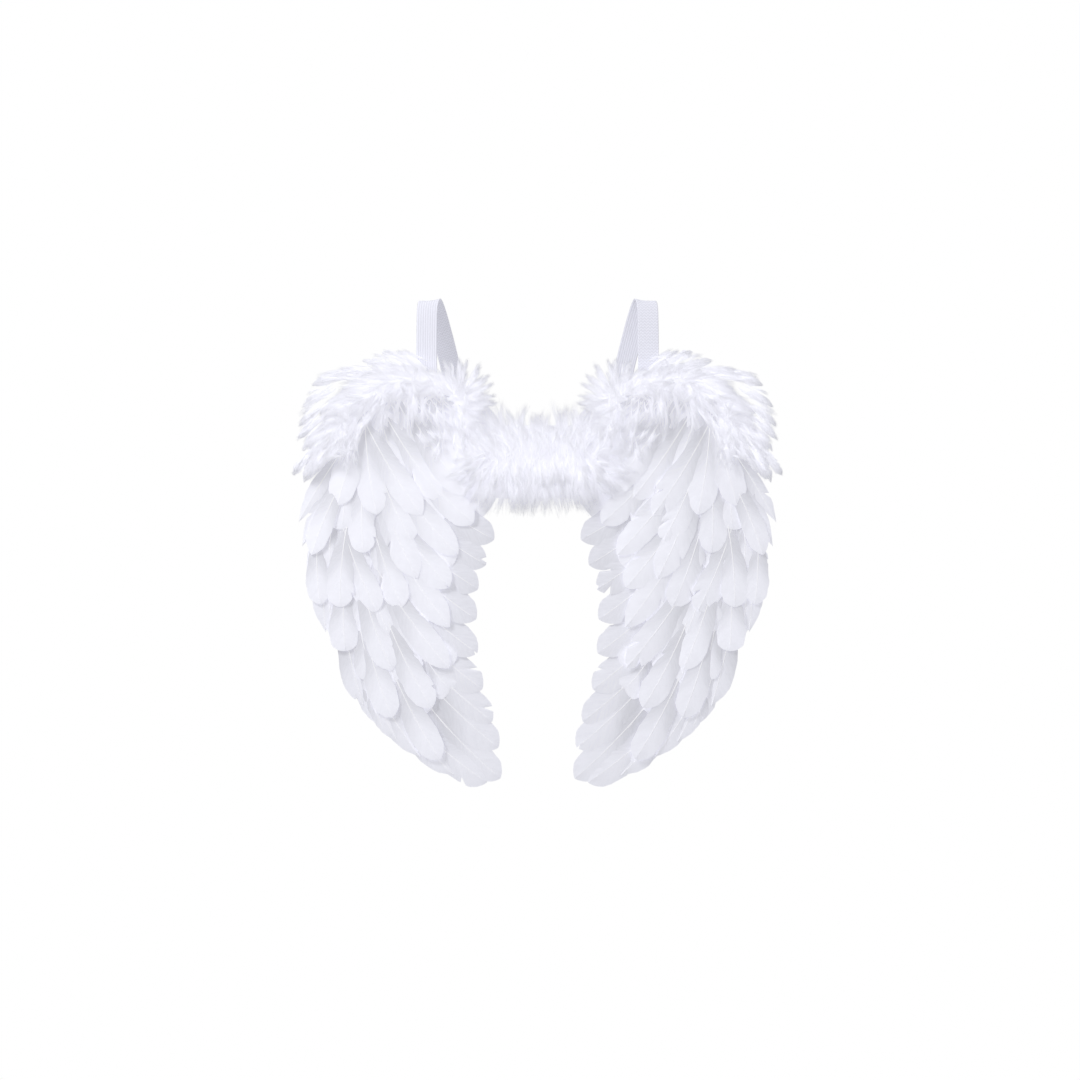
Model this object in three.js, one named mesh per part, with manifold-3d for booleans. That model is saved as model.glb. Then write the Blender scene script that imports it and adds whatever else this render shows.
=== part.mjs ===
// A pair of costume angel wings: feathers laid in rows on two stiff felt panels that a
// felt bridge joins, marabou over the shoulders and the join, and two elastic arm loops.
// Millimetres, +X to the viewer's right, +Y towards the wearer, +Z up. The origin is on
// the back of the bridge, between the wearer's shoulder blades.
import * as THREE from "three";
import Module from "manifold-3d";

const wasm = await Module();
wasm.setup();

// The spread of one wing. Tables hold places as shares of the first two: across from the
// centre line, and down from the highest tip.
const wingReach = 233;
const wingHeight = 417;
const wingRise = 106;
const seamGap = 0.3;

// The felt parts.
const bridgeWidth = 100;
const bridgeHeight = 70;
const bridgeThickness = 2;
const bridgeCorner = 14;
const panelThickness = 2.5;

// The feathers.
const featherThickness = 1.6;
const covertWidth = 28;
const flightWidth = 31;
const flightLength = 108;
const edgeWidth = 24;
const edgeLength = 96;
const tapeWidth = 9;
const leanAtCentre = 84;
const leanAtEdge = -28;
const covertBend = 12;
const edgeBend = 22;

// The rows of coverts. Their root lines are parallel and slope down towards the outer
// edge, and are counted square to that slope from the wing's highest point on the centre.
const rowSlope = 15;
const firstRow = 12;
const rowPitch = 49;

// The marabou: half sizes of each core, and how far its locks stand out of it.
const shoulderCore = { wide: 13, deep: 9, lock: 15, lockRoot: 10 };
const crestCore = { wide: 10, deep: 7, lock: 19, lockRoot: 10 };
const upperCore = { wide: 19, deep: 14, lock: 12, lockRoot: 12 };
const lowerCore = { wide: 19, deep: 13, lock: 13, lockRoot: 12 };
const coreSides = 8;
const centreHalfWidth = 52;
const upperCentre = 29;
const lowerCentre = -12.5;

// The elastic arm loops.
const strapWidth = 20;
const strapThickness = 1.2;
const strapRise = 50;
const strapReach = 88;

// Distances forward of the bridge's back face.
const panelBack = bridgeThickness + seamGap;
const panelFront = panelBack + panelThickness;
const rowLevel = seamGap + featherThickness + seamGap;
const rowStep = featherThickness + seamGap;

const white = { metalness: 0, color: 0xf3f3f8 };
const feather = new THREE.MeshStandardMaterial({ ...white, roughness: 0.7 });
const marabou = new THREE.MeshStandardMaterial({ ...white, roughness: 0.95 });
const felt = new THREE.MeshStandardMaterial({ ...white, color: 0xededf0, roughness: 0.95 });
const elastic = new THREE.MeshStandardMaterial({ ...white, color: 0xe4e4ea, roughness: 0.8 });

// The felt panel under each wing, clockwise from the top of its inner lobe.
const panelOutline = [
  { across: 0.14, down: 0.175 },
  { across: 0.3, down: 0.085 },
  { across: 0.45, down: 0.045 },
  { across: 0.62, down: 0.06 },
  { across: 0.8, down: 0.14 },
  { across: 0.9, down: 0.29 },
  { across: 0.885, down: 0.45 },
  { across: 0.8, down: 0.62 },
  { across: 0.66, down: 0.79 },
  { across: 0.42, down: 0.91 },
  { across: 0.275, down: 0.9 },
  { across: 0.34, down: 0.69 },
  { across: 0.33, down: 0.47 },
  { across: 0.14, down: 0.31 },
];

// The tips of the coverts, row by row from the shoulder down, outermost first.
const covertRows = [
  [
    { across: 0.822, down: 0.357 },
    { across: 0.657, down: 0.378 },
    { across: 0.468, down: 0.382 },
    { across: 0.381, down: 0.345 },
    { across: 0.278, down: 0.334 },
    { across: 0.245, down: 0.265 },
    { across: 0.27, down: 0.203 },
  ],
  [
    { across: 0.929, down: 0.472 },
    { across: 0.715, down: 0.463 },
    { across: 0.517, down: 0.435 },
    { across: 0.488, down: 0.527 },
    { across: 0.319, down: 0.472 },
    { across: 0.262, down: 0.396 },
  ],
  [
    { across: 0.892, down: 0.582 },
    { across: 0.81, down: 0.587 },
    { across: 0.657, down: 0.598 },
    { across: 0.554, down: 0.589 },
    { across: 0.361, down: 0.543 },
    { across: 0.352, down: 0.64 },
  ],
  [
    { across: 0.789, down: 0.686 },
    { across: 0.595, down: 0.734 },
    { across: 0.356, down: 0.732 },
  ],
  [
    { across: 0.595, down: 0.842 },
    { across: 0.431, down: 0.82 },
  ],
  [{ across: 0.398, down: 0.939 }],
];

// The long feathers that scallop the inner edge, from the top down.
const flightTips = [
  { across: 0.164, down: 0.424, lean: 66 },
  { across: 0.201, down: 0.479, lean: 62 },
  { across: 0.235, down: 0.541, lean: 58 },
  { across: 0.241, down: 0.608, lean: 55 },
  { across: 0.237, down: 0.681, lean: 53 },
  { across: 0.212, down: 0.771, lean: 51 },
  { across: 0.175, down: 0.847, lean: 49 },
  { across: 0.15, down: 0.905, lean: 48 },
  { across: 0.126, down: 0.965, lean: 47 },
  { across: 0.2, down: 0.995, lean: 45 },
];

// The pointed feathers of the outer edge, from the top down.
const edgeTips = [
  { across: 0.983, down: 0.394, lean: -15 },
  { across: 0.97, down: 0.449, lean: -10 },
  { across: 0.954, down: 0.518, lean: -5 },
  { across: 0.925, down: 0.585, lean: 0 },
  { across: 0.871, down: 0.645, lean: 5 },
  { across: 0.838, down: 0.663, lean: 5 },
  { across: 0.715, down: 0.815, lean: 12 },
  { across: 0.575, down: 0.898, lean: 33 },
  { across: 0.484, down: 0.932, lean: 42 },
  { across: 0.344, down: 0.974, lean: 48 },
];

// How a vane's half width grows and closes along the feather.
const roundVane = [
  { along: 0, width: 0.2 },
  { along: 0.3, width: 0.7 },
  { along: 0.6, width: 1 },
  { along: 0.85, width: 0.92 },
  { along: 0.96, width: 0.5 },
];
const pointedVane = [
  { along: 0, width: 0.3 },
  { along: 0.3, width: 0.85 },
  { along: 0.6, width: 1 },
  { along: 0.85, width: 0.55 },
];

// The spine of the marabou from the join up over the shoulder, and on down the outside.
const shoulderSpine = [
  { across: 0.235, down: 0.135 },
  { across: 0.29, down: 0.1 },
  { across: 0.37, down: 0.072 },
  { across: 0.48, down: 0.062 },
];
const crestSpine = [
  { across: 0.53, down: 0.068 },
  { across: 0.64, down: 0.09 },
  { across: 0.75, down: 0.15 },
  { across: 0.83, down: 0.245 },
];

// The crest's outer points, from the shoulder outwards and down, and how far along the
// spine each one springs.
const crestTips = [
  { across: 0.579, down: 0, from: 0.02 },
  { across: 0.637, down: 0.003, from: 0.1 },
  { across: 0.732, down: 0.021, from: 0.22 },
  { across: 0.814, down: 0.044, from: 0.34 },
  { across: 0.876, down: 0.065, from: 0.45 },
  { across: 0.933, down: 0.08, from: 0.55 },
  { across: 0.975, down: 0.131, from: 0.66 },
  { across: 0.987, down: 0.173, from: 0.76 },
  { across: 0.991, down: 0.205, from: 0.84 },
  { across: 0.966, down: 0.233, from: 0.92 },
  { across: 1, down: 0.285, from: 0.99 },
];

// The route of an arm loop. Above the wing, rise is a share of the loop's rise, and below
// its highest tip it is a share of the wing's height, counted down. Back is a share of the
// loop's reach, and turn is the band's twist in degrees.
const strapRoute = [
  { across: 0.457, rise: -0.125, back: 0, turn: 0 },
  { across: 0.457, rise: -0.075, back: 0, turn: 0 },
  { across: 0.457, rise: -0.01, back: 0.04, turn: 0 },
  { across: 0.457, rise: 0.5, back: 0.1, turn: 0 },
  { across: 0.455, rise: 0.88, back: 0.17, turn: 2 },
  { across: 0.446, rise: 1, back: 0.25, turn: 5 },
  { across: 0.43, rise: 0.88, back: 0.34, turn: 10 },
  { across: 0.402, rise: 0.44, back: 0.5, turn: 18 },
  { across: 0.366, rise: -0.03, back: 0.72, turn: 24 },
  { across: 0.34, rise: -0.12, back: 0.92, turn: 22 },
  { across: 0.32, rise: -0.22, back: 1, turn: 16 },
  { across: 0.305, rise: -0.32, back: 0.9, turn: 10 },
  { across: 0.295, rise: -0.4, back: 0.55, turn: 4 },
  { across: 0.29, rise: -0.41, back: 0.2, turn: 0 },
  { across: 0.288, rise: -0.37, back: 0.02, turn: 0 },
  { across: 0.287, rise: -0.34, back: 0, turn: 0 },
  { across: 0.287, rise: -0.29, back: 0, turn: 0 },
];

// A wing's own space is (across, down, forward of the panel's front). This takes a point
// of it to the object's space, on the wing whose side is -1 or 1.
function onWing(side, across, down, forward) {
  return new THREE.Vector3(side * across, -(panelFront + forward), wingRise - down);
}

// Rings of equally many points, joined one to the next and closed at both ends. A ring of
// one point is a tip. The faces are turned out whichever way the rings run.
function ringSolid(rings) {
  const positions = rings.flat().flatMap((point) => [point.x, point.y, point.z]);
  const index = [];
  let start = 0;
  for (let i = 0; i + 1 < rings.length; i++) {
    const count = rings[i].length;
    const next = start + count;
    const tip = rings[i + 1].length === 1;
    for (let k = 0; k < count; k++) {
      const l = (k + 1) % count;
      index.push(start + k, start + l, tip ? next : next + k);
      if (!tip) index.push(start + l, next + l, next + k);
    }
    start = next;
  }
  for (let k = 1; k + 1 < rings[0].length; k++) index.push(0, k + 1, k);
  const last = rings.at(-1).length;
  for (let k = 1; k + 1 < last; k++) index.push(start, start + k, start + k + 1);
  return closedSolid(positions, index);
}

// A solid from loose faces, turned inside out if its volume comes out negative.
function closedSolid(positions, index) {
  const mesh = new wasm.Mesh({
    numProp: 3,
    vertProperties: new Float32Array(positions),
    triVerts: new Uint32Array(index),
  });
  const solid = new wasm.Manifold(mesh);
  if (solid.volume() > 0) return solid;
  const turned = [];
  for (let i = 0; i < index.length; i += 3) turned.push(index[i], index[i + 2], index[i + 1]);
  mesh.triVerts = new Uint32Array(turned);
  return new wasm.Manifold(mesh);
}

// One body from several solids that run into each other.
function fuse(solids) {
  const { vertProperties, triVerts } = solids.reduce((whole, next) => whole.add(next)).getMesh();
  const geometry = new THREE.BufferGeometry();
  geometry.setAttribute("position", new THREE.BufferAttribute(vertProperties, 3));
  geometry.setIndex(new THREE.BufferAttribute(triVerts, 1));
  const flat = geometry.toNonIndexed();
  flat.computeVertexNormals();
  return flat;
}

function named(name, geometry, material) {
  const mesh = new THREE.Mesh(geometry, material);
  mesh.name = name;
  return mesh;
}

// How far a place on the wing is from the centre's highest point, square to the rows.
function rowDistance(across, down) {
  const slope = THREE.MathUtils.degToRad(rowSlope);
  return down * Math.cos(slope) - across * Math.sin(slope);
}

function rootDistance(row) {
  return firstRow + rowPitch * (row - 1);
}

// The height of a row's feathers over the panel. Every row is glued at the same level and
// lifts by one step in each row pitch, so that it clears the row below.
function rowHeight(row, across, down) {
  const pastTape = rowDistance(across, down) - rootDistance(row) + tapeWidth / 2;
  return rowLevel + (rowStep * pastTape) / rowPitch;
}

// The crest's marabou lies over the first row's roots, as a row above them would.
function crestHeight(across, down) {
  return Math.max(rowLevel, rowHeight(0, across, down));
}

// A shaft that ends at a tip, at a mean lean from straight down towards the centre line.
function shaftTo(tip, lean, bend, length) {
  const heading = (degrees) => {
    const angle = THREE.MathUtils.degToRad(degrees);
    return new THREE.Vector2(-Math.sin(angle), Math.cos(angle));
  };
  const end = new THREE.Vector2(tip.across * wingReach, tip.down * wingHeight);
  const middle = end.clone().addScaledVector(heading(lean + bend / 2), -length / 2);
  const root = middle.clone().addScaledVector(heading(lean - bend / 2), -length / 2);
  return new THREE.QuadraticBezierCurve(root, middle, end);
}

// A covert's lean follows its place across the wing, and it is as long as it takes to
// reach back to its row's root line.
function covertShaft(row, tip) {
  const lean = THREE.MathUtils.lerp(leanAtCentre, leanAtEdge, tip.across);
  let short = covertWidth;
  let long = wingHeight;
  for (let i = 0; i < 30; i++) {
    const middle = (short + long) / 2;
    const root = shaftTo(tip, lean, covertBend, middle).v0;
    if (rowDistance(root.x, root.y) > rootDistance(row)) short = middle;
    else long = middle;
  }
  return shaftTo(tip, lean, covertBend, short);
}

// One feather as a thin blade, flat behind and ridged in front along the shaft.
function blade(side, shaft, width, vane, heightAt) {
  const point = (across, down, lift) => onWing(side, across, down, heightAt(across, down) + lift);
  const rings = vane.map((station) => {
    const on = shaft.getPoint(station.along);
    const along = shaft.getTangent(station.along);
    const half = (width / 2) * station.width;
    const edge = (sign) => point(on.x + sign * half * along.y, on.y - sign * half * along.x, 0);
    return [edge(-1), point(on.x, on.y, featherThickness * Math.sqrt(station.width)), edge(1)];
  });
  const end = shaft.getPoint(1);
  rings.push([point(end.x, end.y, featherThickness / 4)]);
  return ringSolid(rings);
}

// The tape that binds the quills of a run of feathers, from one root to the next, with a
// little left over at both ends.
function rootTape(side, shafts, heightAt) {
  const roots = shafts.map((shaft) => shaft.getPoint(0));
  const past = (end, next) => end.clone().sub(next).setLength(tapeWidth / 2).add(end);
  const line = [past(roots[0], roots[1]), ...roots.slice(1, -1), past(roots.at(-1), roots.at(-2))];
  const rings = line.map((root, i) => {
    const before = line[Math.max(i - 1, 0)];
    const after = line[Math.min(i + 1, line.length - 1)];
    const out = after.clone().sub(before).rotateAround(new THREE.Vector2(), Math.PI / 2);
    out.setLength(tapeWidth / 2);
    const corner = (sign, lift) => {
      const across = root.x + sign * out.x;
      const down = root.y + sign * out.y;
      return onWing(side, across, down, heightAt(across, down) + lift);
    };
    return [corner(-1, 0), corner(1, 0), corner(1, featherThickness), corner(-1, featherThickness)];
  });
  return ringSolid(rings);
}

function covertRow(side, row) {
  const heightAt = (across, down) => rowHeight(row, across, down);
  const shafts = covertRows[row - 1].map((tip) => covertShaft(row, tip));
  shafts.sort((a, b) => a.v0.x - b.v0.x);
  const blades = shafts.map((shaft) => blade(side, shaft, covertWidth, roundVane, heightAt));
  if (shafts.length > 1) blades.push(rootTape(side, shafts, heightAt));
  return fuse(blades);
}

// The long feathers of both edges lie flat on the panel, under every row of coverts.
function flightFeathers(side) {
  const heightAt = () => seamGap;
  const flights = flightTips.map((tip) => shaftTo(tip, tip.lean, covertBend, flightLength));
  const edges = edgeTips.map((tip) => shaftTo(tip, tip.lean, edgeBend, edgeLength));
  return fuse([
    ...flights.map((shaft) => blade(side, shaft, flightWidth, roundVane, heightAt)),
    ...edges.map((shaft) => blade(side, shaft, edgeWidth, pointedVane, heightAt)),
    rootTape(side, flights, heightAt),
    rootTape(side, edges, heightAt),
  ]);
}

// A lock of marabou: a three-sided spike from a root inside the core to its tip.
function lock(root, tip, half) {
  const line = new THREE.Vector3().subVectors(tip, root);
  const wide = new THREE.Vector3(0, -1, 0).cross(line);
  if (wide.length() < line.length() / 4) wide.set(1, 0, 0);
  wide.normalize();
  const high = line.clone().cross(wide).normalize();
  const base = [-1, 0, 1].map((turn) => {
    const angle = (turn * 2 * Math.PI) / 3;
    return root
      .clone()
      .addScaledVector(high, Math.cos(angle) * half * 0.6)
      .addScaledVector(wide, Math.sin(angle) * half);
  });
  return ringSolid([base, [tip]]);
}

// How far behind its spine a marabou's core has its flat back.
function coreBack(size) {
  return size.deep * Math.cos(Math.PI / coreSides);
}

// A rounded core along a spine of the object's space. Shares scales it at each section, and
// the flat back stays where it is.
function marabouCore(spine, size, shares) {
  return ringSolid(
    shares.map((share, i) => {
      const at = i / (shares.length - 1);
      const along = spine.getTangent(at);
      const out = new THREE.Vector3(0, -1, 0);
      const centre = spine.getPoint(at).addScaledVector(out, (share - 1) * coreBack(size));
      const wide = along.clone().cross(out).normalize();
      return Array.from({ length: coreSides }, (_, k) => {
        const turn = ((k + 0.5) / coreSides) * 2 * Math.PI;
        return centre
          .clone()
          .addScaledVector(wide, Math.cos(turn) * size.wide * share)
          .addScaledVector(out, Math.sin(turn) * size.deep * share);
      });
    }),
  );
}

// Locks that stand out of a core in ranks. A rank's turn is measured round the core in
// degrees, from its outer side past its front, and sweep leans its locks along the spine.
// Its locks are long and short by turns, as shares of the marabou's own lock. Outside is 1
// where the outer side lies to the left of a spine seen from the front, and -1 elsewhere.
function lockRanks(spine, size, outside, ranks) {
  return ranks.flatMap((rank) => {
    return Array.from({ length: rank.count }, (_, i) => {
      const odd = i % 2 === 1;
      const at = rank.from + ((rank.to - rank.from) * (i + 0.5)) / rank.count;
      const centre = spine.getPoint(at);
      const along = spine.getTangent(at);
      const front = new THREE.Vector3(0, -1, 0);
      const outer = front.clone().cross(along).setLength(outside);
      const turn = THREE.MathUtils.degToRad(rank.turn + (odd ? rank.stagger : -rank.stagger));
      const way = outer
        .multiplyScalar(Math.cos(turn))
        .addScaledVector(front, Math.sin(turn))
        .addScaledVector(along, rank.sweep)
        .normalize();
      const skin = Math.hypot(Math.cos(turn) * size.wide, Math.sin(turn) * size.deep);
      const root = centre.clone().addScaledVector(way, skin * -0.25);
      const tip = centre.addScaledVector(way, skin + size.lock * (odd ? rank.short : rank.long));
      return lock(root, tip, size.lockRoot);
    });
  });
}

// A spine laid on the wing, with the back of its core at a height over the panel.
function spineOnWing(side, places, size, heightAt) {
  const points = places.map(({ across, down }) => {
    const a = across * wingReach;
    const d = down * wingHeight;
    return onWing(side, a, d, heightAt(a, d) + coreBack(size));
  });
  return new THREE.CatmullRomCurve3(points);
}

function shoulderMarabou(side) {
  const spine = spineOnWing(side, shoulderSpine, shoulderCore, () => seamGap);
  const core = marabouCore(spine, shoulderCore, [0.7, 0.95, 1, 1, 1, 0.9, 0.6]);
  return fuse([
    core,
    ...lockRanks(spine, shoulderCore, side, [
      { from: 0.25, to: 1, count: 7, turn: 0, stagger: 8, sweep: 0, long: 1, short: 0.8 },
      { from: 0.2, to: 1, count: 6, turn: 50, stagger: 10, sweep: 0.2, long: 0.8, short: 0.5 },
      { from: 0.1, to: 1, count: 5, turn: 140, stagger: 12, sweep: 0.2, long: 1, short: 0.6 },
    ]),
  ]);
}

function crestMarabou(side) {
  const spine = spineOnWing(side, crestSpine, crestCore, crestHeight);
  const core = marabouCore(spine, crestCore, [0.6, 1, 1, 1, 0.9, 0.7, 0.4]);
  const plumes = crestTips.map((tip, i) => {
    const a = tip.across * wingReach;
    const d = tip.down * wingHeight;
    const rest = crestHeight(a, d) + featherThickness * (i % 2 ? 1 : 3);
    return lock(spine.getPoint(tip.from), onWing(side, a, d, rest), crestCore.lockRoot);
  });
  return fuse([
    core,
    ...plumes,
    ...lockRanks(spine, crestCore, side, [
      { from: 0, to: 1, count: 6, turn: 50, stagger: 14, sweep: 1, long: 0.8, short: 0.6 },
      { from: 0, to: 0.9, count: 7, turn: 155, stagger: 8, sweep: 0.6, long: 1.2, short: 0.8 },
    ]),
  ]);
}

// The marabou over the join lies across both panels: a full upper boa, whose two ends
// meet in a notch at the top, and a lower one whose locks hang.
function centreMarabou(size, height, outside, shares, ranks) {
  const forward = -(panelFront + seamGap + coreBack(size));
  const spine = new THREE.LineCurve3(
    new THREE.Vector3(-centreHalfWidth, forward, height),
    new THREE.Vector3(centreHalfWidth, forward, height),
  );
  return fuse([marabouCore(spine, size, shares), ...lockRanks(spine, size, outside, ranks)]);
}

function upperCentreMarabou() {
  const shares = [0.5, 0.9, 1, 0.95, 0.7, 0.95, 1, 0.9, 0.5];
  return centreMarabou(upperCore, upperCentre, 1, shares, [
    { from: 0.14, to: 0.46, count: 3, turn: 0, stagger: 8, sweep: -0.15, long: 1, short: 0.8 },
    { from: 0.54, to: 0.86, count: 3, turn: 0, stagger: 8, sweep: 0.15, long: 1, short: 0.8 },
    { from: 0.04, to: 0.96, count: 7, turn: 45, stagger: 8, sweep: 0, long: 1, short: 0.8 },
    { from: 0.06, to: 0.94, count: 6, turn: 95, stagger: 8, sweep: 0, long: 0.8, short: 0.6 },
    { from: 0, to: 0.04, count: 1, turn: 70, stagger: 0, sweep: -1.2, long: 1, short: 1 },
    { from: 0.96, to: 1, count: 1, turn: 70, stagger: 0, sweep: 1.2, long: 1, short: 1 },
  ]);
}

function lowerCentreMarabou() {
  const shares = [0.5, 0.9, 1, 1, 1, 1, 1, 0.9, 0.5];
  return centreMarabou(lowerCore, lowerCentre, -1, shares, [
    { from: 0.1, to: 0.9, count: 9, turn: 0, stagger: 6, sweep: 0, long: 1, short: 0.8 },
    { from: 0.04, to: 0.96, count: 8, turn: 42, stagger: 8, sweep: 0, long: 1, short: 0.8 },
    { from: 0.06, to: 0.94, count: 6, turn: 92, stagger: 8, sweep: 0, long: 0.8, short: 0.6 },
    { from: 0, to: 0.04, count: 1, turn: 60, stagger: 0, sweep: -1.2, long: 1, short: 1 },
    { from: 0.96, to: 1, count: 1, turn: 60, stagger: 0, sweep: 1.2, long: 1, short: 1 },
  ]);
}

// A flat outline cut from felt, its back face at a distance forward of the bridge's back.
function feltSheet(shape, thickness, back) {
  const geometry = new THREE.ExtrudeGeometry(shape, {
    depth: thickness,
    bevelEnabled: false,
    curveSegments: 5,
  });
  geometry.rotateX(Math.PI / 2);
  geometry.translate(0, -back, 0);
  return geometry;
}

function bridgePanel() {
  const x = bridgeWidth / 2 - bridgeCorner;
  const z = bridgeHeight / 2 - bridgeCorner;
  const shape = new THREE.Shape();
  shape.absarc(x, z, bridgeCorner, 0, Math.PI / 2);
  shape.absarc(-x, z, bridgeCorner, Math.PI / 2, Math.PI);
  shape.absarc(-x, -z, bridgeCorner, Math.PI, 1.5 * Math.PI);
  shape.absarc(x, -z, bridgeCorner, 1.5 * Math.PI, 2 * Math.PI);
  return feltSheet(shape, bridgeThickness, 0);
}

function wingPanel(side) {
  const corners = panelOutline.map(({ across, down }) => {
    const place = onWing(side, across * wingReach, down * wingHeight, 0);
    return new THREE.Vector3(place.x, place.z, 0);
  });
  const outline = new THREE.CatmullRomCurve3(corners, true, "centripetal").getPoints(42);
  const shape = new THREE.Shape(outline.slice(0, -1).map(({ x, y }) => new THREE.Vector2(x, y)));
  return feltSheet(shape, panelThickness, panelBack);
}

// The arm loop is a band swept along its route, with both ends flat on the panel's back.
function shoulderStrap(side) {
  const sewn = seamGap + strapThickness / 2 - panelBack;
  const places = strapRoute.map(({ across, rise, back }) => {
    const up = rise > 0 ? rise * strapRise : rise * wingHeight;
    return new THREE.Vector3(side * across * wingReach, sewn + back * strapReach, wingRise + up);
  });
  const route = new THREE.CatmullRomCurve3(places);
  const spans = strapRoute.length - 1;
  const steps = spans * 2;
  const rings = Array.from({ length: steps + 1 }, (_, i) => {
    const at = i / steps;
    const before = Math.min(Math.floor(at * spans), spans - 1);
    const turns = [strapRoute[before].turn, strapRoute[before + 1].turn];
    const turn = THREE.MathUtils.degToRad(THREE.MathUtils.lerp(...turns, at * spans - before));
    const centre = route.getPoint(at);
    centre.y = Math.max(centre.y, sewn);
    const flat = centre.y === sewn;
    const along = flat ? new THREE.Vector3(0, 0, 1) : route.getTangent(at);
    const wide = new THREE.Vector3(1, 0, 0).addScaledVector(along, -along.x).normalize();
    wide.applyAxisAngle(along, side * turn);
    const thick = along.clone().cross(wide);
    const corner = (w, t) => {
      return centre
        .clone()
        .addScaledVector(wide, (w * strapWidth) / 2)
        .addScaledVector(thick, (t * strapThickness) / 2);
    };
    return [corner(-1, -1), corner(1, -1), corner(1, 1), corner(-1, 1)];
  });
  return fuse([ringSolid(rings)]);
}

function wing(side, prefix) {
  const group = new THREE.Group();
  group.add(named(`${prefix}_wing_panel`, wingPanel(side), felt));
  group.add(named(`${prefix}_flight_feathers`, flightFeathers(side), feather));
  for (let row = 1; row <= covertRows.length; row++) {
    group.add(named(`${prefix}_covert_row_${row}`, covertRow(side, row), feather));
  }
  group.add(named(`${prefix}_shoulder_marabou`, shoulderMarabou(side), marabou));
  group.add(named(`${prefix}_crest_marabou`, crestMarabou(side), marabou));
  group.add(named(`${prefix}_shoulder_strap`, shoulderStrap(side), elastic));
  return group;
}

const angelWings = new THREE.Group();
angelWings.add(named("bridge_panel", bridgePanel(), felt));
angelWings.add(wing(-1, "left"));
angelWings.add(wing(1, "right"));
angelWings.add(named("upper_center_marabou", upperCentreMarabou(), marabou));
angelWings.add(named("lower_center_marabou", lowerCentreMarabou(), marabou));

export default angelWings;
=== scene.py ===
# The looks of a pair of costume angel wings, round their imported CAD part. Metres, +X to the
# viewer's right, +Y towards the wearer, +Z up.
import math
import random

import bmesh
import bpy
from mathutils import Matrix, Vector


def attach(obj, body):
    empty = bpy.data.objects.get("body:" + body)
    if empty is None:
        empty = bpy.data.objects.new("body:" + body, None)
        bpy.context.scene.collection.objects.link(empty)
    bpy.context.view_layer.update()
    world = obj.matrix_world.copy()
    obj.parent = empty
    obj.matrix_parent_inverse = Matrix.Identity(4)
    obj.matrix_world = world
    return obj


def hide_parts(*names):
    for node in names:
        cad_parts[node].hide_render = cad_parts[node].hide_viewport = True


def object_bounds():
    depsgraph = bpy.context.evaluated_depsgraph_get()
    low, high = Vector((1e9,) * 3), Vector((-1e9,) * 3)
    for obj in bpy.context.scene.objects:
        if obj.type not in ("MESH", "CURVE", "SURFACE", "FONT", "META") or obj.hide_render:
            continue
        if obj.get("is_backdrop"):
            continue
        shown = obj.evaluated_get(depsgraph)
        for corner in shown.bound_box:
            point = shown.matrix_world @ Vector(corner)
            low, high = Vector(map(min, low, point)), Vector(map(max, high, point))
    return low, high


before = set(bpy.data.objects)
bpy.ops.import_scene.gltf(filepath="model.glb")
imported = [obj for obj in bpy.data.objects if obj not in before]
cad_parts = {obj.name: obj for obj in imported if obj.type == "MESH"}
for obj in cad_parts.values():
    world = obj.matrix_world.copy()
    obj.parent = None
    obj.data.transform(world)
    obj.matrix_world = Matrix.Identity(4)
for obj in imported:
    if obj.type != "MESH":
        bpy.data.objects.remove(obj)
cad_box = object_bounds()
scene = bpy.context.scene

# The studio: a white sweep with no horizon, even white light from all round, and one large
# soft light above the camera, as for a catalogue picture. The camera is level and far off,
# straight before the wings. The floor and the world show white and light the wings less.
photo_scale = 0.00096
photo_size = 1080
photo_middle = Vector((0.0024, 0, -0.0749))
camera_distance = 3.0
sensor_width = 36

camera_data = bpy.data.cameras.new("camera")
camera_data.sensor_width = sensor_width
camera_data.lens = sensor_width * camera_distance / (photo_scale * photo_size)
camera = bpy.data.objects.new("camera", camera_data)
camera.location = photo_middle + Vector((0, -camera_distance, 0))
camera.rotation_euler = (math.radians(90), 0, 0)
scene.collection.objects.link(camera)
scene.camera = camera
scene.view_settings.view_transform = "Standard"
scene.cycles.diffuse_bounces = 10


class Wire:
    """A socket of a node tree, for use in Python expressions."""

    def __init__(self, socket):
        self.socket = socket
        self.tree = socket.id_data

    def maths(self, operation, *others):
        values = [self, *others]
        if any(is_vector(value) for value in values):
            node = add_node(self.tree, "ShaderNodeVectorMath", {"operation": operation}, values)
        else:
            node = add_node(self.tree, "ShaderNodeMath", {"operation": operation}, values)
        return node[0]

    def __add__(self, other):
        return self.maths("ADD", other)

    def __radd__(self, other):
        return self.maths("ADD", other)

    def __sub__(self, other):
        return self.maths("SUBTRACT", other)

    def __rsub__(self, other):
        return self * -1 + other

    def __mul__(self, other):
        if is_vector(self) and not is_vector(other):
            sockets = {0: self, "Scale": other}
            return add_node(self.tree, "ShaderNodeVectorMath", {"operation": "SCALE"}, sockets)[0]
        if is_vector(other) and not is_vector(self):
            return other * self
        return self.maths("MULTIPLY", other)

    def __rmul__(self, other):
        return self * other

    def __pow__(self, other):
        return self.maths("POWER", other)


def is_vector(value):
    if isinstance(value, Wire):
        return value.socket.type in ("VECTOR", "RGBA")
    return isinstance(value, (tuple, Vector))


class Node:
    """A node whose outputs are wires, by number or name."""

    def __init__(self, node):
        self.node = node

    def __getitem__(self, key):
        if isinstance(key, int):
            return Wire([s for s in self.node.outputs if s.enabled][key])
        return Wire(next(s for s in self.node.outputs if s.enabled and s.name == key))


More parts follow.
